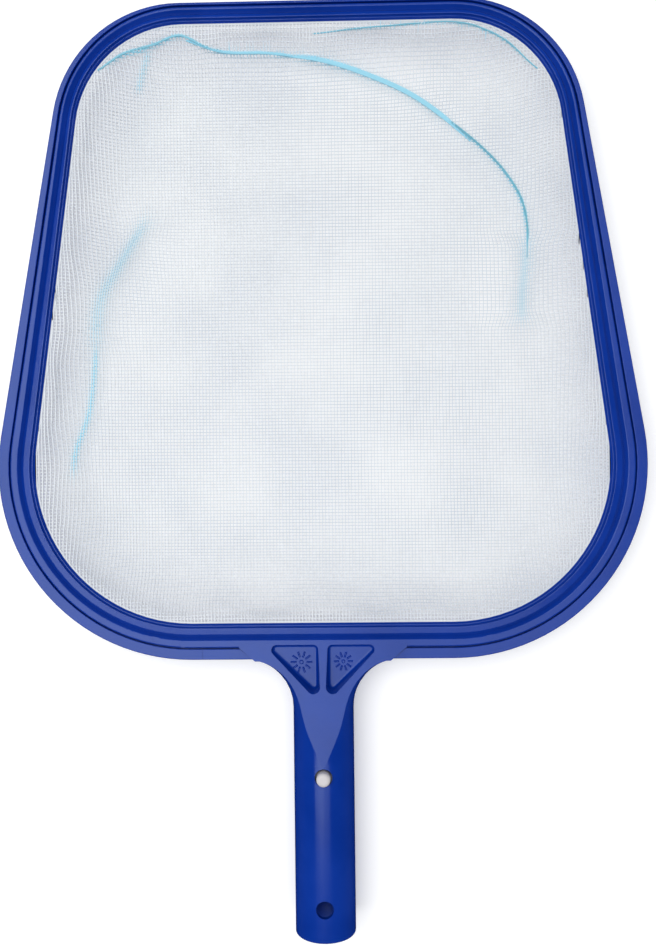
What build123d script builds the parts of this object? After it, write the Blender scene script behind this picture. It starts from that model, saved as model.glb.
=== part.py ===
"""Leaf skimmer net: a clamped two-part hoop with a tubular spigot, a slack net and a snap-button clip.

Millimetres. The origin is the centre of the spigot's free end. +Y runs along the spigot to the leading
edge of the hoop and +Z points out of the front face. The net is clamped in the plane Z = 0.
"""

from build123d import *

import math
import os

# Hoop outline: the hull of two circles at the lower corners and two at the upper corners.
LOW_X, LOW_Y, LOW_R = 62.0, 220.0, 91.0
UP_X, UP_Y, UP_R = 65.5, 379.0, 60.5
RIM_X, RIM_Y = 63.9, 378.7  # centres of the upper corners for every line inside the outer edge

# Lines of the hoop's section, as the radii they lose: (at the lower circles, at the upper ones).
OUTER_EDGE = (0.0, 0.0)
FLANGE_IN = (5.0, 0.9)
TIER_OUT = (5.4, 1.2)
CREST_OUT = (5.7, 2.0)
VALLEY_OUT = (9.1, 3.1)
VALLEY_MID = (10.4, 4.8)
SHELF_OUT = (12.0, 5.8)
SHELF_IN = (14.4, 6.9)
TIER_IN = (14.9, 7.4)
BEAD_OUT = (15.3, 7.7)
BEAD_IN = (16.1, 8.4)
LIP_IN = (16.8, 8.9)
CLAMP_OUT = (12.0, 5.5)
LEDGE_IN = (17.0, 9.1)
REAR_IN = (14.2, 6.4)
NET_MOUTH_IN = (18.0, 10.1)

# Heights of the hoop's section.
CLAMP = 0.3  # half the thickness of the net's clamped border
FRONT_Z = 3.2
VALLEY_Z = 1.5
SHELF_Z = 2.95
LIP_Z, LIP_EDGE_Z = 2.1, 0.8
BEAD_Z = 1.9
FLANGE_Z = 2.9
REAR_Z = -4.0
CREST_ROUND, RIDGE_ROUND, FLANGE_ROUND, BEAD_ROUND, REAR_ROUND = 0.65, 0.2, 0.4, 0.3, 1.2
OVERCUT = 0.6
SEAM_X, SEAM_WIDTH, SEAM_DEPTH = -56.7, 0.5, 0.4

# Ejector pin marks on the outer crest.
PIN_MARKS = ((-79.0, 139.4), (-66.0, 136.4), (78.5, 138.9))
PIN_MARK_R, PIN_MARK_DEPTH = 1.6, 0.15

# Spigot: the tube that the pole slides over.
TUBE_R, BORE_R = 14.25, 12.05
BORE_DEPTH = 93.0
END_ROUND = 1.0
HOLE_R, UPPER_HOLE_Y, LOWER_HOLE_Y = 4.1, 76.4, 15.7

# Neck between the spigot and the hoop.
NECK_R, NECK_Y = 22.7, 106.3  # concave flanks: radius, and the height where they leave the tube
NECK_END_ANGLE = 77.0
FLANK_STEPS = 8
FLAT_START_Y, FLAT_R = 80.0, 70.0  # the front leaves the tube along an arc, then slopes straight to the hoop
REAR_START_Y = 92.6
HOOP_FACE_Y = 136.5
APRON_X, APRON_Y = 39.5, 134.6
NECK_REAR_Z = -4.6
NOTCH = 0.5  # gap between the neck and the ends of the rear ring's flange

# Pockets in the neck's front face, as (x, y) corners right of the rib.
POCKET_CORNERS = ((2.7, 135.4), (26.4, 135.4), (2.7, 112.8))
POCKET_ROUND, POCKET_FLOOR_ROUND = 1.8, 1.3
POCKET_FLOOR_Z, POCKET_DRAFT = 1.2, 12.0

# Date marks on the pocket floors: a small boss with roof-shaped spokes around it.
MARKS = ((-10.2, 127.4, 5.2), (9.6, 127.6, 4.5))
SPOKES, SPOKE_WIDTH, SPOKE_HEIGHT, SPOKE_DRAFT = 10, 0.95, 0.5, 38.0

# Net: a shallow slack bag.
NET_THICKNESS = 0.6
BAG_DEPTH = 18.3
BAG_RUN = 24.0  # how far the sides run in between the hoop and the bottom

# Snap-button clip inside the spigot.
LEAF, LEAF_WIDTH = 1.0, 9.0
BEND_Y, BEND_R = 31.0, 6.0  # centre and middle radius of the U bend
ARM_GAP = 0.3
ARM_KNEE_Y, ARM_END_Y = 66.0, 84.0
ARM_Z = 9.9  # middle of the leaf's straight end
BUTTON_R, BUTTON_TOP, BUTTON_ROUND = 3.2, 18.4, 1.6
SHANK_R, RIVET_R, RIVET = 1.6, 2.4, 0.8


def hoop_area(inset):
    """Area within a line of the hoop's section. Only the outer edge has its own upper corners."""
    low, up = inset
    centre_x, centre_y = (UP_X, UP_Y) if inset == OUTER_EDGE else (RIM_X, RIM_Y)
    with BuildSketch() as area:
        with Locations((-LOW_X, LOW_Y), (LOW_X, LOW_Y)):
            Circle(LOW_R - low)
        with Locations((-centre_x, centre_y), (centre_x, centre_y)):
            Circle(UP_R - up)
        make_hull()
    return area.sketch


def hoop_band(outer, inner, bottom, top):
    """Flat ring between two lines of the hoop's section."""
    outside = hoop_area(outer)
    inside = hoop_area(inner)
    with BuildPart() as band:
        with BuildSketch(Plane.XY.offset(bottom)):
            add(outside)
            add(inside, mode=Mode.SUBTRACT)
        extrude(amount=top - bottom)
    return band.part


def tapered(*sections):
    """Solid whose sides run straight from one (line, height) to the next."""
    outlines = [(hoop_area(inset), z) for inset, z in sections]
    with BuildPart() as solid:
        for outline, z in outlines:
            with BuildSketch(Plane.XY.offset(z)):
                add(outline)
        loft(ruled=True)
    return solid.part


def past(start, end, rise, more):
    """Line reached by carrying the slope from start to end, which rises by rise, on for more."""
    return tuple(b + (b - a) * more / rise for a, b in zip(start, end))


def make_rear_body():
    """Rear half of the hoop: its inner wall draws back behind the ledge that carries the net."""
    outline = hoop_area(OUTER_EDGE)
    opening = tapered((REAR_IN, REAR_Z), (LEDGE_IN, -CLAMP))
    with BuildPart() as body:
        with BuildSketch(Plane.XY.offset(REAR_Z)):
            add(outline)
        extrude(amount=-CLAMP - REAR_Z)
        add(opening, mode=Mode.SUBTRACT)
        fillet(body.edges().group_by(Axis.Z)[0], REAR_ROUND)
    return body.part


def make_crest():
    """Outer crest, above the valley floor: its outer flank slopes more at the hoop's upper end."""
    hollow_top = past(VALLEY_MID, VALLEY_OUT, FRONT_Z - VALLEY_Z, OVERCUT)
    hollow = tapered((VALLEY_MID, VALLEY_Z), (hollow_top, FRONT_Z + OVERCUT))
    block = tapered((TIER_OUT, VALLEY_Z), (CREST_OUT, FRONT_Z))
    with BuildPart() as crest:
        add(block)
        add(hollow, mode=Mode.SUBTRACT)
        fillet(crest.edges().group_by(Axis.Z)[-1], CREST_ROUND)
    return crest.part


def make_shelf():
    """Shelf inside the valley, above its floor: it climbs gently to a narrow ridge."""
    block = tapered((VALLEY_MID, VALLEY_Z), (SHELF_OUT, SHELF_Z), (SHELF_IN, FRONT_Z))
    inside = hoop_area(TIER_IN)
    with BuildPart() as shelf:
        add(block)
        with BuildSketch(Plane.XY.offset(VALLEY_Z)):
            add(inside)
        extrude(amount=FRONT_Z - VALLEY_Z + OVERCUT, mode=Mode.SUBTRACT)
        fillet(shelf.edges().group_by(Axis.Z)[-1], RIDGE_ROUND)
    return shelf.part


def make_lip():
    """Lip that slopes down from the inner crest to the net, with a bead along it."""
    void_top = past(LIP_IN, TIER_IN, LIP_Z - LIP_EDGE_Z, OVERCUT)
    void = tapered((LIP_IN, CLAMP), (LIP_IN, LIP_EDGE_Z), (void_top, LIP_Z + OVERCUT))
    plate = hoop_area(SHELF_OUT)
    strip = hoop_band(BEAD_OUT, BEAD_IN, CLAMP, BEAD_Z)
    with BuildPart() as bead:
        add(strip)
        fillet(bead.edges().group_by(Axis.Z)[-1], BEAD_ROUND)
    with BuildPart() as lip:
        with BuildSketch(Plane.XY.offset(CLAMP)):
            add(plate)
        extrude(amount=LIP_Z + OVERCUT / 2 - CLAMP)
        add(void, mode=Mode.SUBTRACT)
        add(bead.part)
    return lip.part


def make_tier():
    """Front half of the hoop: a rounded crest, a valley, a shelf and the lip inside them."""
    base = hoop_band(TIER_OUT, TIER_IN, CLAMP, VALLEY_Z)
    crest = make_crest()
    shelf = make_shelf()
    lip = make_lip()
    with BuildPart() as tier:
        add([base, crest, shelf, lip])
        with BuildSketch(Plane.XY.offset(FRONT_Z - PIN_MARK_DEPTH)):
            with Locations(*PIN_MARKS):
                Circle(PIN_MARK_R)
        extrude(amount=OVERCUT, mode=Mode.SUBTRACT)
    return tier.part


def neck_section(angle):
    """Half width and Y of the neck where its flank has turned by angle."""
    turn = math.radians(angle)
    width = TUBE_R + NECK_R * (1 - math.cos(turn))
    return width, NECK_Y + NECK_R * math.sin(turn)


def slope_start():
    """Y and Z where the neck's front leaves its arc for the straight slope down to the hoop."""
    centre_z = TUBE_R - FLAT_R
    away = Vector(HOOP_FACE_Y - FLAT_START_Y, FRONT_Z - centre_z)
    turn = math.atan2(away.Y, away.X) + math.acos(FLAT_R / away.length)
    return FLAT_START_Y + FLAT_R * math.cos(turn), centre_z + FLAT_R * math.sin(turn)


def make_neck_cuts():
    """What the neck's sloping front and rear faces leave out, as one solid each side."""
    slope_y, slope_z = slope_start()
    far_y = HOOP_FACE_Y + APRON_X
    end_y = neck_section(NECK_END_ANGLE)[1]
    front_slope = (slope_z - FRONT_Z) / (HOOP_FACE_Y - slope_y)
    rear_slope = (TUBE_R + NECK_REAR_Z) / (end_y - REAR_START_Y)
    with BuildPart() as cuts:
        with BuildSketch(Plane.YZ):
            with BuildLine():
                RadiusArc((FLAT_START_Y, TUBE_R), (slope_y, slope_z), FLAT_R)
                Polyline(
                    (slope_y, slope_z),
                    (far_y, FRONT_Z - (far_y - HOOP_FACE_Y) * front_slope),
                    (far_y, 2 * TUBE_R),
                    (FLAT_START_Y, 2 * TUBE_R),
                    (FLAT_START_Y, TUBE_R),
                )
            make_face()
            with BuildLine():
                Polyline(
                    (REAR_START_Y, -TUBE_R),
                    (far_y, -TUBE_R + (far_y - REAR_START_Y) * rear_slope),
                    (far_y, -2 * TUBE_R),
                    (REAR_START_Y, -2 * TUBE_R),
                    close=True,
                )
            make_face()
        extrude(amount=2 * APRON_X, both=True)
    return cuts.part


def make_neck():
    """Spigot tube flaring into a wedge that ends against the hoop."""
    cuts = make_neck_cuts()
    end_x, end_y = neck_section(NECK_END_ANGLE)
    with BuildPart() as neck:
        with BuildSketch(Plane.XZ):
            Circle(TUBE_R)
        extrude(amount=-NECK_Y)
        fillet(neck.edges().group_by(Axis.Y)[0], END_ROUND)
        for step in range(FLANK_STEPS):
            width, y = neck_section(NECK_END_ANGLE * step / (FLANK_STEPS - 1))
            with BuildSketch(Plane.XZ.offset(-y)):
                Ellipse(width, TUBE_R)
        loft()
        with BuildSketch(Plane.XY.offset(CLAMP)):
            with BuildLine():
                Polyline(
                    (-end_x, end_y),
                    (end_x, end_y),
                    (APRON_X, APRON_Y),
                    (APRON_X, HOOP_FACE_Y),
                    (-APRON_X, HOOP_FACE_Y),
                    (-APRON_X, APRON_Y),
                    close=True,
                )
            make_face()
        extrude(amount=TUBE_R)
        add(cuts, mode=Mode.SUBTRACT)
    return neck.part


def make_pockets():
    """The two triangular pockets, as solids to cut away."""
    with BuildPart() as pockets:
        with BuildSketch(Plane.XY.offset(POCKET_FLOOR_Z)) as sketch:
            for side in (-1, 1):
                corners = [(side * x, y) for x, y in POCKET_CORNERS]
                with BuildLine():
                    Polyline(*corners, close=True)
                make_face()
            fillet(sketch.vertices(), POCKET_ROUND)
        extrude(amount=TUBE_R, taper=-POCKET_DRAFT)
        fillet(pockets.edges().group_by(Axis.Z)[0], POCKET_FLOOR_ROUND)
    return pockets.part


def moved_in(inset, distance):
    """The same inset moved in evenly by a further distance."""
    return tuple(part + distance for part in inset)


def bag_fill(shift, bottom_z):
    """Solid with sloping sides from the clamped border down to bottom_z, moved in by shift."""
    run = BAG_RUN * (bottom_z + CLAMP) / (CLAMP - BAG_DEPTH)
    return tapered((moved_in(LEDGE_IN, shift + run), bottom_z), (moved_in(LEDGE_IN, shift), -CLAMP))


def make_net():
    """Net as a thin pan: a clamped border, sloping sides and a flat bottom."""
    slope = math.atan2(BAG_DEPTH - CLAMP, BAG_RUN)
    filled = bag_fill(0.0, -BAG_DEPTH)
    hollow = bag_fill(NET_THICKNESS / math.sin(slope), NET_THICKNESS - BAG_DEPTH)
    border = hoop_band(CLAMP_OUT, NET_MOUTH_IN, -CLAMP, CLAMP)
    with BuildPart() as bag:
        add(filled)
        add(hollow, mode=Mode.SUBTRACT)
        add(border)
    return bag.part


def make_arm():
    """Front leaf of the clip: a flat strip that slants out from the bend and then runs straight."""
    start_y = BEND_Y + ARM_GAP
    half = LEAF / 2
    with BuildPart() as arm:
        with BuildSketch(Plane.YZ):
            with BuildLine():
                Polyline(
                    (start_y, BEND_R - half),
                    (ARM_KNEE_Y, ARM_Z - half),
                    (ARM_END_Y, ARM_Z - half),
                    (ARM_END_Y, ARM_Z + half),
                    (ARM_KNEE_Y, ARM_Z + half),
                    (start_y, BEND_R + half),
                    close=True,
                )
            make_face()
        extrude(amount=LEAF_WIDTH / 2, both=True)
        ends = arm.edges().filter_by(Axis.Z).group_by(Axis.Y)[-1]
        fillet(ends, LEAF_WIDTH / 4)
        with BuildSketch(Plane.XY):
            with Locations((0, UPPER_HOLE_Y)):
                Circle(SHANK_R)
        extrude(amount=TUBE_R, mode=Mode.SUBTRACT)
    return arm.part


def make_button():
    """Front snap button: a domed head on the leaf, a shank through it and a rivet under it."""
    top = ARM_Z + LEAF / 2
    under = ARM_Z - LEAF / 2
    with BuildPart() as button:
        with BuildSketch(Plane.XY.offset(top)):
            with Locations((0, UPPER_HOLE_Y)):
                Circle(BUTTON_R)
        extrude(amount=BUTTON_TOP - top)
        fillet(button.edges().group_by(Axis.Z)[-1], BUTTON_ROUND)
        with BuildSketch(Plane.XY.offset(under)):
            with Locations((0, UPPER_HOLE_Y)):
                Circle(SHANK_R)
        extrude(amount=LEAF)
        with BuildSketch(Plane.XY.offset(under - RIVET)):
            with Locations((0, UPPER_HOLE_Y)):
                Circle(RIVET_R)
        extrude(amount=RIVET)
    return button.part


front_tier = make_tier()
front_neck = make_neck()
front_pockets = make_pockets()
front_arm = make_arm()
front_button = make_button()
rear_body = make_rear_body()
clamp_band = hoop_band(OUTER_EDGE, CLAMP_OUT, -CLAMP, CLAMP)
flange = hoop_band(OUTER_EDGE, FLANGE_IN, CLAMP, FLANGE_Z)
neck_end_x, neck_end_y = neck_section(NECK_END_ANGLE)
hoop_end_y = LOW_Y - LOW_R

with BuildPart() as front_frame:
    add(front_neck)
    add(front_tier)
    add(front_pockets, mode=Mode.SUBTRACT)
    with BuildSketch(Plane.XZ):
        Circle(BORE_R)
    extrude(amount=-BORE_DEPTH, mode=Mode.SUBTRACT)
    with BuildSketch(Plane.XY.offset(-1.5 * TUBE_R)):
        with Locations((0, UPPER_HOLE_Y), (0, LOWER_HOLE_Y)):
            Circle(HOLE_R)
    extrude(amount=3 * TUBE_R, mode=Mode.SUBTRACT)
    for mark_x, mark_y, mark_r in MARKS:
        with BuildSketch(Plane.XY.offset(POCKET_FLOOR_Z)):
            with Locations((mark_x, mark_y)):
                Circle(mark_r * 0.2)
                with PolarLocations(mark_r * 0.72, SPOKES):
                    Rectangle(mark_r * 0.55, SPOKE_WIDTH)
        extrude(amount=SPOKE_HEIGHT, taper=SPOKE_DRAFT)

with BuildPart() as rear_ring:
    add([rear_body, clamp_band, flange])
    fillet(rear_ring.edges().group_by(Axis.Z)[-1], FLANGE_ROUND)
    # The flange stops either side of the neck.
    with BuildSketch(Plane.XY.offset(CLAMP)):
        with BuildLine():
            Polyline(
                (-neck_end_x - NOTCH, neck_end_y),
                (neck_end_x + NOTCH, neck_end_y),
                (APRON_X + NOTCH, APRON_Y),
                (-APRON_X - NOTCH, APRON_Y),
                close=True,
            )
        make_face()
    extrude(amount=FLANGE_Z, mode=Mode.SUBTRACT)
    # Witness line where the flange's strip was joined.
    with BuildSketch(Plane.XY.offset(FLANGE_Z - SEAM_DEPTH)):
        with Locations((SEAM_X, hoop_end_y + FLANGE_IN[0] / 2)):
            Rectangle(SEAM_WIDTH, 2 * FLANGE_IN[0])
    extrude(amount=FLANGE_Z, mode=Mode.SUBTRACT)

net = make_net()

with BuildPart() as clip_bend:
    with BuildSketch(Plane.YZ):
        with Locations((BEND_Y, 0)):
            Circle(BEND_R + LEAF / 2)
            Circle(BEND_R - LEAF / 2, mode=Mode.SUBTRACT)
        with Locations((BEND_Y + BEND_R, 0)):
            Rectangle(2 * BEND_R, 3 * BEND_R, mode=Mode.SUBTRACT)
    extrude(amount=LEAF_WIDTH / 2, both=True)

PIECES = {
    "front_frame": front_frame.part,
    "rear_ring": rear_ring.part,
    "net": net,
    "clip_bend": clip_bend.part,
    "clip_arm_front": front_arm,
    "clip_arm_rear": front_arm.mirror(Plane.XY),
    "snap_button_front": front_button,
    "snap_button_rear": front_button.mirror(Plane.XY),
}

os.makedirs("parts", exist_ok=True)
for name, piece in PIECES.items():
    piece.label = name
    export_step(piece, f"parts/{name}.step")
    print(name, round(piece.volume), piece.bounding_box())
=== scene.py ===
"""Looks of the leaf skimmer: blue moulded hoop and spigot, a slack white mesh net and a snap-button clip.

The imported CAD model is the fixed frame. The net's plain CAD pan is replaced by real threads laid over a sheet
of cloth, which is simulated hanging slack from the hoop. Lengths are in millimetres, except where a comment
says metres.
"""

import math
from collections import namedtuple

import bpy
import numpy as np
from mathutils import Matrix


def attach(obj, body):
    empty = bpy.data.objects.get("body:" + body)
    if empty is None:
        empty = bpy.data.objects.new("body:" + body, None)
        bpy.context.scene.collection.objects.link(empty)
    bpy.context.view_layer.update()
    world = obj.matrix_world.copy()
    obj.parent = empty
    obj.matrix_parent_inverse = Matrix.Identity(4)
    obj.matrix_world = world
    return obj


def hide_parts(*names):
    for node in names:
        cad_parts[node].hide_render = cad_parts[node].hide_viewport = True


MM = 0.001  # one millimetre in metres

# Inner lines of the hoop, as in the CAD: two circles at the lower corners and two at the upper corners. An
# inset is what a line loses of the lower and of the upper radius.
LOW_X, LOW_Y, LOW_R = 62.0, 220.0, 91.0
UP_X, UP_Y, UP_R = 63.9, 378.7, 60.5
LEDGE_INSET = (17.0, 9.1)  # where the net leaves the hoop's halves
CLAMP_INSET = (12.2, 5.7)  # where the threads end, inside the clamp
BORDER_INSETS = ((16.9, 9.0), (17.35, 9.45))  # threads along the hoop's inner edge

# Heights in the shared frame
FLOOR_Z = -18.4
NET_LOW_Z = -16.9  # bottom of the unsettled sheet, and a plane under it that it can't pass

# Simulated sheet: a grid over the whole hoop
CELL = 4.0
HALF_COLUMNS = 38
ROWS = 79
FIRST_ROW_Y = 128.0
BAG_RUN = 26.0  # how far in from the hoop the bag's side reaches its bottom
RIPPLE_HEIGHT = 1.2
RIPPLE_X, RIPPLE_Y = (17, 23, 0.6), (21, 29, 0.8)  # length, length of its wander and how much it wanders
SETTLING_STEPS = 30
SETTLING_FLOOR = 0.6  # half a side, in metres
CONTACT_GAP = 0.0003  # metres
CLOTH = {
    "quality": 6,
    "mass": 0.002,
    "tension_stiffness": 8,
    "compression_stiffness": 8,
    "shear_stiffness": 1,
    "bending_stiffness": 0.02,
    "air_damping": 4,
    "shrink_min": -0.012,  # the cloth grows by this share, which is its slack
}
EASING_PASSES = 6
EASING = 0.5  # share of the way to the middle of its neighbours that a point goes in one pass

# Threads
PITCH = 1.6
THREAD = 0.5  # side of a thread's square section
SQUARE = ((-1, -1), (1, -1), (1, 1), (-1, 1))
LINES_X = np.arange(-91, 92) * PITCH
LINES_Y = 132.0 + np.arange(192) * PITCH
SAMPLE = 1.0  # spacing of the points tried along a thread
SAMPLES_X = np.arange(-148, 149, SAMPLE)
SAMPLES_Y = np.arange(130, 438, SAMPLE)
SHORTEST_THREAD = 6  # samples
BEND_TOLERANCE = 0.08
LONGEST_STEP = 6.0
EDGE_RUN = 5.0  # how far in from the hoop the net's border comes away from the clamped plane
BORDER_STEPS = 181

# Folds in the slack net. corners: points on the fold over the flat cloth. height: how far the net rises
# there. width: how far the fold's tint reaches. tint: how strong it is, the cyan of doubled net deepening to a
# painted crease shade. gathered: threads bunched along it.
Fold = namedtuple("Fold", "corners height width tint gathered")
FOLDS = (
    Fold(((-104, 409), (-91, 417), (-77, 421.5), (-65, 425), (-53, 421), (-40, 418.5)), 1.0, 1.0, 0.7, 2),
    Fold(((-62, 423.5), (-45, 419), (-25, 418.5), (-5, 417)), 1.0, 1.2, 0.6, 3),
    Fold(((-20, 418.5), (0, 416), (20, 411), (39, 403.5), (58, 391), (74, 377.5)), 1.4, 1.9, 0.55, 6),
    Fold(((52, 395), (66, 385), (80, 373), (91, 361), (98, 348), (101, 334), (101, 320)), 1.2, 1.1, 0.85, 2),
    Fold(((101, 334), (100, 318), (98.5, 302), (98, 284)), 0.3, 4.5, 0.18, 0),
    Fold(((-80, 348), (-96, 322), (-107, 300), (-110, 270)), 0.6, 4.2, 0.24, 0),
    Fold(((-109, 285), (-110, 268), (-113, 247), (-119, 228), (-121, 212)), 0.8, 1.8, 0.5, 0),
    Fold(((-79, 421), (-84, 411), (-88, 401)), 0.5, 2.0, 0.28, 0),
    Fold(((-2, 425.5), (32, 427.5), (64, 428.5), (86, 421.5), (104, 406)), 0.5, 0.6, 0.8, 1),
)
POINTS_PER_CORNER = 12
FADE_IN, FADE_OUT = 0.2, 0.22  # shares of a fold's length over which it starts and ends
PULL = 0.5  # share of the way to a fold that the net is drawn
PULL_REACH = 3.0  # how far the pull reaches, in widths of the fold
GATHER_STEP = 0.34  # spacing of the threads bunched along a fold
GATHER_AT_ENDS = 0.4  # share of that spacing at the fold's ends
GATHER_DROP = 0.08  # how much lower each thread lies than the one nearer the fold's middle

# Looks
BLUES = ((0.0015, 0.029, 0.275), (0.0022, 0.035, 0.32))
GREYS = ((0.58, 0.55, 0.56), (0.68, 0.65, 0.66))
NOISE_LOW, NOISE_HIGH = 0.3, 0.7  # the part of a noise's 0 to 1 that it mostly keeps to

# Stage, in metres
FLOOR_HALF = 4.0
FLOOR_DROP = 0.0002  # keeps the floor's surface clear of what lies on it
SOFTBOX_Z = 1.5
SOFTBOX_LOW_Y, SOFTBOX_TOP_Y = -0.5, 1.13
SENSOR_MM, LENS_MM = 36.0, 36.89
CAMERA_PLACE = (0.0133, 0.216, 0.46)
CAMERA_TURN = (0.0, 1.25, -0.62)  # degrees

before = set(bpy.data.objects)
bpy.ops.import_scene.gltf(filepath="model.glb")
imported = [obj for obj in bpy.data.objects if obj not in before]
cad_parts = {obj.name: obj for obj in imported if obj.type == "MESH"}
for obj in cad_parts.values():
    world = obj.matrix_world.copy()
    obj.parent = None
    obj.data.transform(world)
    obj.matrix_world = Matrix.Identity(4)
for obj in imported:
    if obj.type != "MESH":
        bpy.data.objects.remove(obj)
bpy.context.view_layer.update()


# ---------------------------------------------------------------- materials
def new_material(name):
    """Empty node material: the material, its nodes, its links and its principled shader."""
    material = bpy.data.materials.new(name)
    material.use_nodes = True
    tree = material.node_tree
    return material, tree.nodes, tree.links, tree.nodes["Principled BSDF"]


def noise(nodes, links, coordinates, scale, detail):
    """Noise texture over the object's own coordinates."""
    texture = nodes.new("ShaderNodeTexNoise")
    texture.inputs["Scale"].default_value = scale
    texture.inputs["Detail"].default_value = detail
    links.new(coordinates, texture.inputs["Vector"])
    return texture.outputs["Fac"]


def ramp(nodes, links, source, stops):
    """Colour ramp with (position, colour) stops."""
    node = nodes.new("ShaderNodeValToRGB")
    elements = node.color_ramp.elements
    for element, (position, colour) in zip(elements, stops):
        element.position = position
        element.color = (*colour, 1)
    links.new(source, node.inputs["Fac"])
    return node.outputs["Color"]


def bump(nodes, links, shader, height, distance, strength):
    """Gives a shader bump from a height. The distance is in metres."""
    node = nodes.new("ShaderNodeBump")
    node.inputs["Distance"].default_value = distance
    node.inputs["Strength"].default_value = strength
    links.new(height, node.inputs["Height"])
    links.new(node.outputs["Normal"], shader.inputs["Normal"])


def spread(nodes, links, source, low, high):
    """Maps a noise to a range of values."""
    node = nodes.new("ShaderNodeMapRange")
    node.inputs["From Min"].default_value = NOISE_LOW
    node.inputs["From Max"].default_value = NOISE_HIGH
    node.inputs["To Min"].default_value = low
    node.inputs["To Max"].default_value = high
    links.new(source, node.inputs["Value"])
    return node.outputs["Result"]


def moulded_plastic(name, colours, roughness, gloss_tint):
    """Injection-moulded plastic: slightly cloudy colour and gloss over a fine satin grain."""
    material, nodes, links, shader = new_material(name)
    place = nodes.new("ShaderNodeTexCoord").outputs["Object"]
    clouds = noise(nodes, links, place, scale=45.0, detail=4.0)
    grain = noise(nodes, links, place, scale=2600.0, detail=2.0)
    links.new(ramp(nodes, links, clouds, zip((0.35, 0.65), colours)), shader.inputs["Base Color"])
    links.new(spread(nodes, links, clouds, roughness - 0.03, roughness + 0.04), shader.inputs["Roughness"])
    shader.inputs["Specular IOR Level"].default_value = 0.5
    shader.inputs["Specular Tint"].default_value = (*gloss_tint, 1)
    bump(nodes, links, shader, grain, distance=0.00005, strength=0.4)
    return material


def rolled_steel(name):
    """Dark tempered spring strip with fine lines along its length."""
    material, nodes, links, shader = new_material(name)
    place = nodes.new("ShaderNodeTexCoord").outputs["Object"]
    stretch = nodes.new("ShaderNodeMapping")
    stretch.inputs["Scale"].default_value = (1.0, 0.03, 1.0)
    links.new(place, stretch.inputs["Vector"])
    lines = noise(nodes, links, stretch.outputs["Vector"], scale=3000.0, detail=2.0)
    tint = ramp(nodes, links, lines, ((0.3, (0.05, 0.053, 0.062)), (0.7, (0.10, 0.105, 0.12))))
    links.new(tint, shader.inputs["Base Color"])
    shader.inputs["Metallic"].default_value = 1.0
    links.new(spread(nodes, links, lines, 0.28, 0.4), shader.inputs["Roughness"])
    bump(nodes, links, shader, lines, distance=0.00003, strength=0.4)
    return material


def mesh_thread(name):
    """Polyester thread: bluish white, cyan where the net lies doubled in a fold, deepening to a painted shade
    of dark teal in the crease's core.
    """
    material, nodes, links, shader = new_material(name)
    place = nodes.new("ShaderNodeTexCoord").outputs["Object"]
    clouds = noise(nodes, links, place, scale=25.0, detail=3.0)
    fibres = noise(nodes, links, place, scale=4000.0, detail=2.0)
    tint = ramp(nodes, links, clouds, ((0.35, (0.70, 0.74, 0.79)), (0.65, (0.79, 0.82, 0.85))))
    fold = nodes.new("ShaderNodeAttribute")
    fold.attribute_name = "fold"
    # painted shade: past the middle of the fold attribute the cyan of doubled net darkens to teal, standing for
    # the shadow in the crease's core
    doubled_tint_and_crease_shade = ramp(nodes, links, fold.outputs["Fac"], ((0.5, (0.36, 0.74, 0.90)), (0.9, (0.12, 0.42, 0.55))))
    folded = nodes.new("ShaderNodeMapRange")
    folded.inputs["From Max"].default_value = 0.5
    links.new(fold.outputs["Fac"], folded.inputs["Value"])
    mix = nodes.new("ShaderNodeMix")
    mix.data_type = "RGBA"
    links.new(folded.outputs["Result"], mix.inputs["Factor"])
    links.new(tint, mix.inputs["A"])
    links.new(doubled_tint_and_crease_shade, mix.inputs["B"])
    links.new(mix.outputs["Result"], shader.inputs["Base Color"])
    links.new(spread(nodes, links, fibres, 0.45, 0.6), shader.inputs["Roughness"])
    bump(nodes, links, shader, fibres, distance=0.00004, strength=0.4)
    return material


def paint(node, material):
    """Gives a CAD node its material."""
    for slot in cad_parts[node].material_slots:
        slot.material = material


blue = moulded_plastic("blue_plastic_finish", BLUES, 0.19, (0.72, 0.86, 1.0))
grey = moulded_plastic("button_finish", GREYS, 0.4, (1.0, 1.0, 1.0))
steel = rolled_steel("spring_steel_finish")
for node in ("front_frame", "rear_ring"):
    paint(node, blue)
for node in ("snap_button_front", "snap_button_rear"):
    paint(node, grey)
for node in ("clip_bend", "clip_arm_front", "clip_arm_rear"):
    paint(node, steel)


# ---------------------------------------------------------------- net
def square(name, half, z):
    """Flat level square, in metres, twice half on a side."""
    mesh = bpy.data.meshes.new(name)
    corners = [(half * x, half * y, z) for x, y in SQUARE]
    mesh.from_pydata(corners, [], [(0, 1, 2, 3)])
    plane = bpy.data.objects.new(name, mesh)
    bpy.context.collection.objects.link(plane)
    return plane


def inside_depth(x, y, inset=(0.0, 0.0)):
    """How far points lie inside the hoop's outline moved in by inset, in mm, negative outside it."""
    low, up = LOW_R - inset[0], UP_R - inset[1]
    along = np.array([UP_X - LOW_X, UP_Y - LOW_Y])
    length = np.hypot(*along)
    turn = math.atan2(along[1], along[0]) - math.acos((low - up) / length)
    side = np.array([math.cos(turn), math.sin(turn)])
    from_low = np.stack([np.abs(x) - LOW_X, y - LOW_Y], -1)
    from_up = np.stack([np.abs(x) - UP_X, y - UP_Y], -1)
    straight = low - from_low @ side
    bottom = y - (LOW_Y - low)
    top = UP_Y + up - y
    depth = np.minimum(np.minimum(straight, bottom), top)
    low_angle = np.arctan2(from_low[..., 1], from_low[..., 0])
    in_low = (from_low[..., 0] > 0) & (low_angle < turn)
    in_up = (from_up[..., 0] > 0) & (np.arctan2(from_up[..., 1], from_up[..., 0]) > turn)
    depth = np.where(in_low, low - np.hypot(from_low[..., 0], from_low[..., 1]), depth)
    return np.where(in_up, up - np.hypot(from_up[..., 0], from_up[..., 1]), depth)


def smooth(x):
    """Eases from 0 to 1."""
    x = np.clip(x, 0, 1)
    return x * x * (3 - 2 * x)


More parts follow.
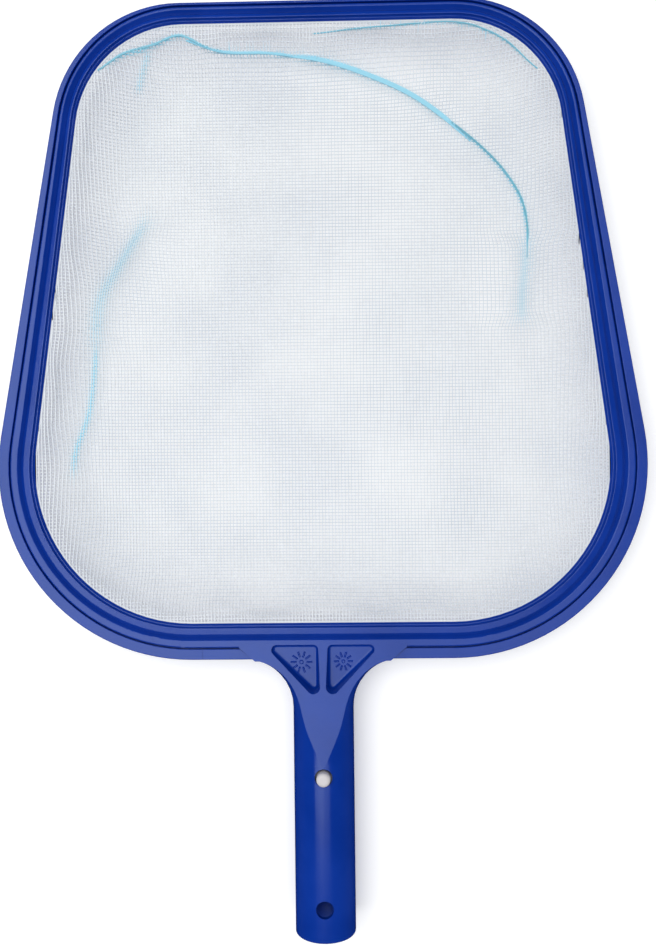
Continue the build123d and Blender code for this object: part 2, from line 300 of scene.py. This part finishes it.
def sheet_axes():
    """X and Y of the simulated sheet's grid."""
    x = np.arange(-HALF_COLUMNS, HALF_COLUMNS + 1) * CELL
    y = FIRST_ROW_Y + np.arange(ROWS) * CELL
    return x, y


def wavy(along, across, wave):
    """Phase of a ripple that runs along one axis and wanders along the other."""
    length, wander_length, wander = wave
    return along / length + wander * np.sin(across / wander_length)


def starting_sheet():
    """Grid points of the slack sheet before it settles, and how far each lies inside the hoop."""
    x, y = np.meshgrid(*sheet_axes(), indexing="ij")
    depth = inside_depth(x, y, LEDGE_INSET)
    sag = smooth(depth / BAG_RUN)
    ripple = np.sin(wavy(x, y, RIPPLE_X)) * np.cos(wavy(y, x, RIPPLE_Y))
    z = sag * NET_LOW_Z + ripple * RIPPLE_HEIGHT * sag * (1 - sag) * 4
    return np.stack([x, y, z], -1), depth


def with_neighbours(inner):
    """Marks the inner grid points and those beside them."""
    used = np.zeros(inner.shape, bool)
    for dx in (-1, 0, 1):
        for dy in (-1, 0, 1):
            used |= np.roll(np.roll(inner, dx, 0), dy, 1)
    return used


def sheet_mesh(points, used):
    """Mesh of the used grid points, in metres."""
    number = np.full(used.shape, -1)
    number[used] = np.arange(used.sum())
    corner = used[:-1, :-1] & used[1:, :-1] & used[1:, 1:] & used[:-1, 1:]
    i, j = np.nonzero(corner)
    faces = np.stack([number[i, j], number[i + 1, j], number[i + 1, j + 1], number[i, j + 1]], -1)
    mesh = bpy.data.meshes.new("settling_sheet")
    mesh.from_pydata((points[used] * MM).tolist(), [], faces.tolist())
    return mesh


def make_cloth(sheet, held):
    """Makes the sheet a cloth that its held vertices pin."""
    cloth = sheet.modifiers.new("Cloth", "CLOTH")
    cloth.settings.vertex_group_mass = held.name
    for setting, value in CLOTH.items():
        setattr(cloth.settings, setting, value)
    cloth.collision_settings.distance_min = CONTACT_GAP
    cloth.point_cache.frame_start = 1
    cloth.point_cache.frame_end = SETTLING_STEPS


def settled_points(sheet):
    """Runs the simulation and returns the sheet's points at its end, in metres."""
    scene = bpy.context.scene
    for step in range(1, SETTLING_STEPS + 1):
        scene.frame_set(step)
    settled = sheet.evaluated_get(bpy.context.evaluated_depsgraph_get())
    flat = np.empty(len(sheet.data.vertices) * 3)
    settled.to_mesh().vertices.foreach_get("co", flat)
    settled.to_mesh_clear()
    scene.frame_set(1)
    return flat.reshape(-1, 3)


def simulate_sheet(points, depth):
    """Lets the sheet settle under gravity in the hoop, and returns its points."""
    used = with_neighbours(depth > 0)
    sheet = bpy.data.objects.new("settling_sheet", sheet_mesh(points, used))
    bpy.context.collection.objects.link(sheet)
    held = sheet.vertex_groups.new(name="held")
    held.add(np.nonzero(depth[used] <= 0)[0].tolist(), 1.0, "REPLACE")
    ground = square("settling_floor", SETTLING_FLOOR, NET_LOW_Z * MM)
    ground.modifiers.new("Collision", "COLLISION")
    ground.collision.thickness_outer = CONTACT_GAP
    make_cloth(sheet, held)
    result = points.copy()
    result[used] = settled_points(sheet) / MM
    for leftover in (sheet, ground):
        bpy.data.objects.remove(leftover)
    return result


def eased(points, depth):
    """Evens out the sharp creases that settling leaves in the sheet, away from the hoop."""
    free = smooth((depth - CELL) / (2 * CELL))[..., None]
    for _ in range(EASING_PASSES):
        beside = sum(np.roll(points, step, axis) for axis in (0, 1) for step in (-1, 1)) / 4
        points = points + EASING * free * (beside - points)
    return points


def spline_weights(wanted, axis):
    """Matrix that interpolates values known at the even steps of axis, smoothly, at the wanted places."""
    place = (wanted - axis[0]) / (axis[1] - axis[0])
    base = np.clip(np.floor(place).astype(int), 1, len(axis) - 3)
    t = place - base
    weights = np.zeros((len(wanted), len(axis)))
    row = np.arange(len(wanted))
    weights[row, base - 1] = ((-t + 2) * t - 1) * t / 2
    weights[row, base] = ((3 * t - 5) * t * t + 2) / 2
    weights[row, base + 1] = ((-3 * t + 4) * t + 1) * t / 2
    weights[row, base + 2] = (t - 1) * t * t / 2
    return weights


def fold_line(corners):
    """Evenly spaced points on a smooth curve through a fold's corners."""
    corners = np.array(corners, float)
    known = np.concatenate([[2 * corners[0] - corners[1]], corners, [2 * corners[-1] - corners[-2]]])
    wanted = np.linspace(1, len(corners), POINTS_PER_CORNER * len(corners))
    return spline_weights(wanted, np.arange(len(known), dtype=float)) @ known


def faded_ends(share):
    """Strength of a fold at a share of its length, with soft ends."""
    return smooth(share / FADE_IN) * smooth((1 - share) / FADE_OUT)


def pleat(points, flat, fold):
    """Draws the net towards a fold and raises it there. Returns the points and how folded each is."""
    line = fold_line(fold.corners)
    offset = flat[..., None, :] - line
    distance = np.hypot(offset[..., 0], offset[..., 1])
    nearest = distance.argmin(-1)
    gap = np.take_along_axis(distance, nearest[..., None], -1)[..., 0]
    toward = -np.take_along_axis(offset, nearest[..., None, None], -2)[..., 0, :]
    ends = faded_ends(nearest / (len(line) - 1))
    near = np.exp(-((gap / fold.width) ** 2)) * ends
    wide = np.exp(-((gap / (PULL_REACH * fold.width)) ** 2)) * ends
    moved = points.copy()
    moved[..., :2] += toward * PULL * wide[..., None]
    moved[..., 2] += fold.height * near
    return moved, near * fold.tint


def net_points(across, along, grid):
    """Points of the net at the given X and Y of the flat cloth, and how folded each is, 0 to 1."""
    axis_x, axis_y = sheet_axes()
    wx = spline_weights(across, axis_x)
    wy = spline_weights(along, axis_y)
    points = np.einsum("ai,ijk,bj->abk", wx, grid, wy)
    flat = np.stack(np.meshgrid(across, along, indexing="ij"), -1)
    points[..., 2] *= smooth(inside_depth(flat[..., 0], flat[..., 1], LEDGE_INSET) / EDGE_RUN)
    folded = np.zeros(points.shape[:2])
    for fold in FOLDS:
        points, near = pleat(points, flat, fold)
        folded = np.maximum(folded, near)
    return points, folded


def gathered_paths(fold, grid):
    """Paths of the threads that lie bunched along a fold, side by side and closer at its ends."""
    line = fold_line(fold.corners)
    axis_x, axis_y = sheet_axes()
    wx = spline_weights(line[:, 0], axis_x)
    wy = spline_weights(line[:, 1], axis_y)
    middle = np.einsum("ai,ijk,aj->ak", wx, grid, wy)
    ahead = np.gradient(middle[:, :2], axis=0)
    ahead /= np.linalg.norm(ahead, axis=1)[:, None]
    sideways = np.stack([-ahead[:, 1], ahead[:, 0]], -1)
    strength = faded_ends(np.linspace(0, 1, len(line)))
    spacing = GATHER_STEP * (GATHER_AT_ENDS + (1 - GATHER_AT_ENDS) * strength)
    for number in range(fold.gathered):
        place = number - (fold.gathered - 1) / 2
        path = middle.copy()
        path[:, :2] += sideways * (place * spacing)[:, None]
        path[:, 2] += THREAD + fold.height * strength - GATHER_DROP * abs(place)
        yield path


def border_path(inset):
    """Closed path round the hoop, moved in by inset, at the height of the net's upper threads."""
    turn = np.linspace(0, 2 * math.pi, BORDER_STEPS)
    outward = np.stack([np.cos(turn), np.sin(turn)], -1)
    centres = np.array([(side * x, y) for x, y in ((LOW_X, LOW_Y), (UP_X, UP_Y)) for side in (-1, 1)])
    radii = np.repeat([LOW_R - inset[0], UP_R - inset[1]], 2)
    furthest = (outward @ centres.T + radii).argmax(-1)
    flat = centres[furthest] + outward * radii[furthest][:, None]
    return np.column_stack([flat, np.full(len(flat), THREAD / 2)])


def kept_points(path):
    """Indexes of the points that a thread's bends need."""
    kept = [0]
    last = 0
    for here in range(2, len(path)):
        step = path[here] - path[last]
        length = np.linalg.norm(step)
        between = path[last + 1 : here] - path[last]
        off = between - np.outer(between @ step / length**2, step)
        if length > LONGEST_STEP or np.abs(off).max() > BEND_TOLERANCE:
            kept.append(here - 1)
            last = here - 1
    kept.append(len(path) - 1)
    return kept


def add_thread(path, folded, verts, faces, folds):
    """Adds one square thread along path, as a closed tube, to the lists of the net's mesh."""
    ahead = np.gradient(path, axis=0)
    ahead /= np.linalg.norm(ahead, axis=1)[:, None]
    up = np.cross(ahead, np.cross((0.0, 0.0, 1.0), ahead))
    up /= np.linalg.norm(up, axis=1)[:, None]
    right = np.cross(ahead, up)
    half = THREAD / 2
    first = len(verts)
    for a, b in SQUARE:
        folds.extend(folded)
        verts.extend(path + half * (a * right + b * up))
    count = len(path)
    for corner in range(4):
        start = first + corner * count
        beside = first + (corner + 1) % 4 * count
        for k in range(count - 1):
            faces.append((start + k, beside + k, beside + k + 1, start + k + 1))
    faces.append(tuple(first + corner * count for corner in (3, 2, 1, 0)))
    faces.append(tuple(first + corner * count + count - 1 for corner in range(4)))


def woven_paths(warp, grid):
    """Path of each warp thread, along Y, or weft thread, along X, and how folded it is at each point."""
    across, along = (LINES_X, SAMPLES_Y) if warp else (SAMPLES_X, LINES_Y)
    points, folded = net_points(across, along, grid)
    points[..., 2] += 0.5 * THREAD * (1 if warp else -1)
    flat_x, flat_y = np.meshgrid(across, along, indexing="ij")
    held = inside_depth(flat_x, flat_y, CLAMP_INSET) > 0
    if not warp:
        points, folded, held = points.swapaxes(0, 1), folded.T, held.T
    for path, tints, inside in zip(points, folded, held):
        where = np.nonzero(inside)[0]
        if len(where) < SHORTEST_THREAD:
            continue
        run = slice(where[0], where[-1] + 1)
        keep = kept_points(path[run])
        yield path[run][keep], tints[run][keep]


def net_paths(grid):
    """Path of every thread in the net, and how folded it is at each point."""
    for warp in (True, False):
        yield from woven_paths(warp, grid)
    for fold in FOLDS:
        for path in gathered_paths(fold, grid):
            yield path, np.full(len(path), fold.tint)
    for inset in BORDER_INSETS:
        path = border_path(inset)
        yield path, np.zeros(len(path))


def make_net(grid):
    """The net as two sets of crossing threads over the sheet, with the bunched and the border threads."""
    verts, faces, folds = [], [], []
    for path, tints in net_paths(grid):
        add_thread(path, tints, verts, faces, folds)
    mesh = bpy.data.meshes.new("net_mesh")
    mesh.from_pydata((np.array(verts) * MM).tolist(), [], faces)
    # fold: per point, how strongly the threads turn cyan where the net lies doubled, and dark teal as a painted
    # shade in the crease
    attribute = mesh.attributes.new("fold", "FLOAT", "POINT")
    attribute.data.foreach_set("value", np.array(folds, float))
    net = bpy.data.objects.new("net_threads", mesh)
    bpy.context.collection.objects.link(net)
    net.data.materials.append(mesh_thread("white_mesh_and_crease_shade_finish"))
    return net


sheet_points, sheet_depth = starting_sheet()
sheet_points = eased(simulate_sheet(sheet_points, sheet_depth), sheet_depth)
net = make_net(sheet_points)
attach(net, "frame")
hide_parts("net")


# ---------------------------------------------------------------- stage
def make_floor():
    """Large pale floor under the object."""
    floor = square("floor", FLOOR_HALF, FLOOR_Z * MM - FLOOR_DROP)
    material, _, _, shader = new_material("floor_finish")
    shader.inputs["Base Color"].default_value = (0.95, 0.95, 0.95, 1)
    shader.inputs["Roughness"].default_value = 0.7
    shader.inputs["Specular IOR Level"].default_value = 0.1
    shader.inputs["Emission Color"].default_value = (1, 1, 1, 1)
    shader.inputs["Emission Strength"].default_value = 0.2
    floor.data.materials.append(material)
    floor.visible_glossy = False  # it would lay wide pale bands on the sides of the tube


def softbox(name, left, right, density):
    """Soft light facing straight down, from left to right in X, with its power per square metre."""
    data = bpy.data.lights.new(name, "AREA")
    data.shape = "RECTANGLE"
    data.size = right - left
    data.size_y = SOFTBOX_TOP_Y - SOFTBOX_LOW_Y
    data.energy = density * data.size * data.size_y
    light = bpy.data.objects.new(name, data)
    light.location = ((left + right) / 2, (SOFTBOX_LOW_Y + SOFTBOX_TOP_Y) / 2, SOFTBOX_Z)
    bpy.context.collection.objects.link(light)


def make_camera():
    """Camera almost straight above the object, close enough to show its perspective."""
    data = bpy.data.cameras.new("camera")
    data.sensor_fit = "VERTICAL"
    data.sensor_height = SENSOR_MM
    data.lens = LENS_MM
    camera = bpy.data.objects.new("camera", data)
    camera.location = CAMERA_PLACE
    camera.rotation_euler = [math.radians(angle) for angle in CAMERA_TURN]
    bpy.context.collection.objects.link(camera)
    bpy.context.scene.camera = camera


def make_world():
    """Even pale surroundings, hidden from reflections."""
    world = bpy.data.worlds.new("studio")
    world.use_nodes = True
    background = world.node_tree.nodes["Background"]
    background.inputs["Color"].default_value = (0.95, 0.97, 1.0, 1)
    background.inputs["Strength"].default_value = 0.45
    world.cycles_visibility.glossy = False
    bpy.context.scene.world = world


make_floor()
make_camera()
softbox("left_softbox", left=-1.07, right=-0.05, density=9.2)
softbox("right_softbox", left=-0.05, right=0.58, density=5.2)
make_world()
bpy.context.scene.view_settings.view_transform = "Standard"
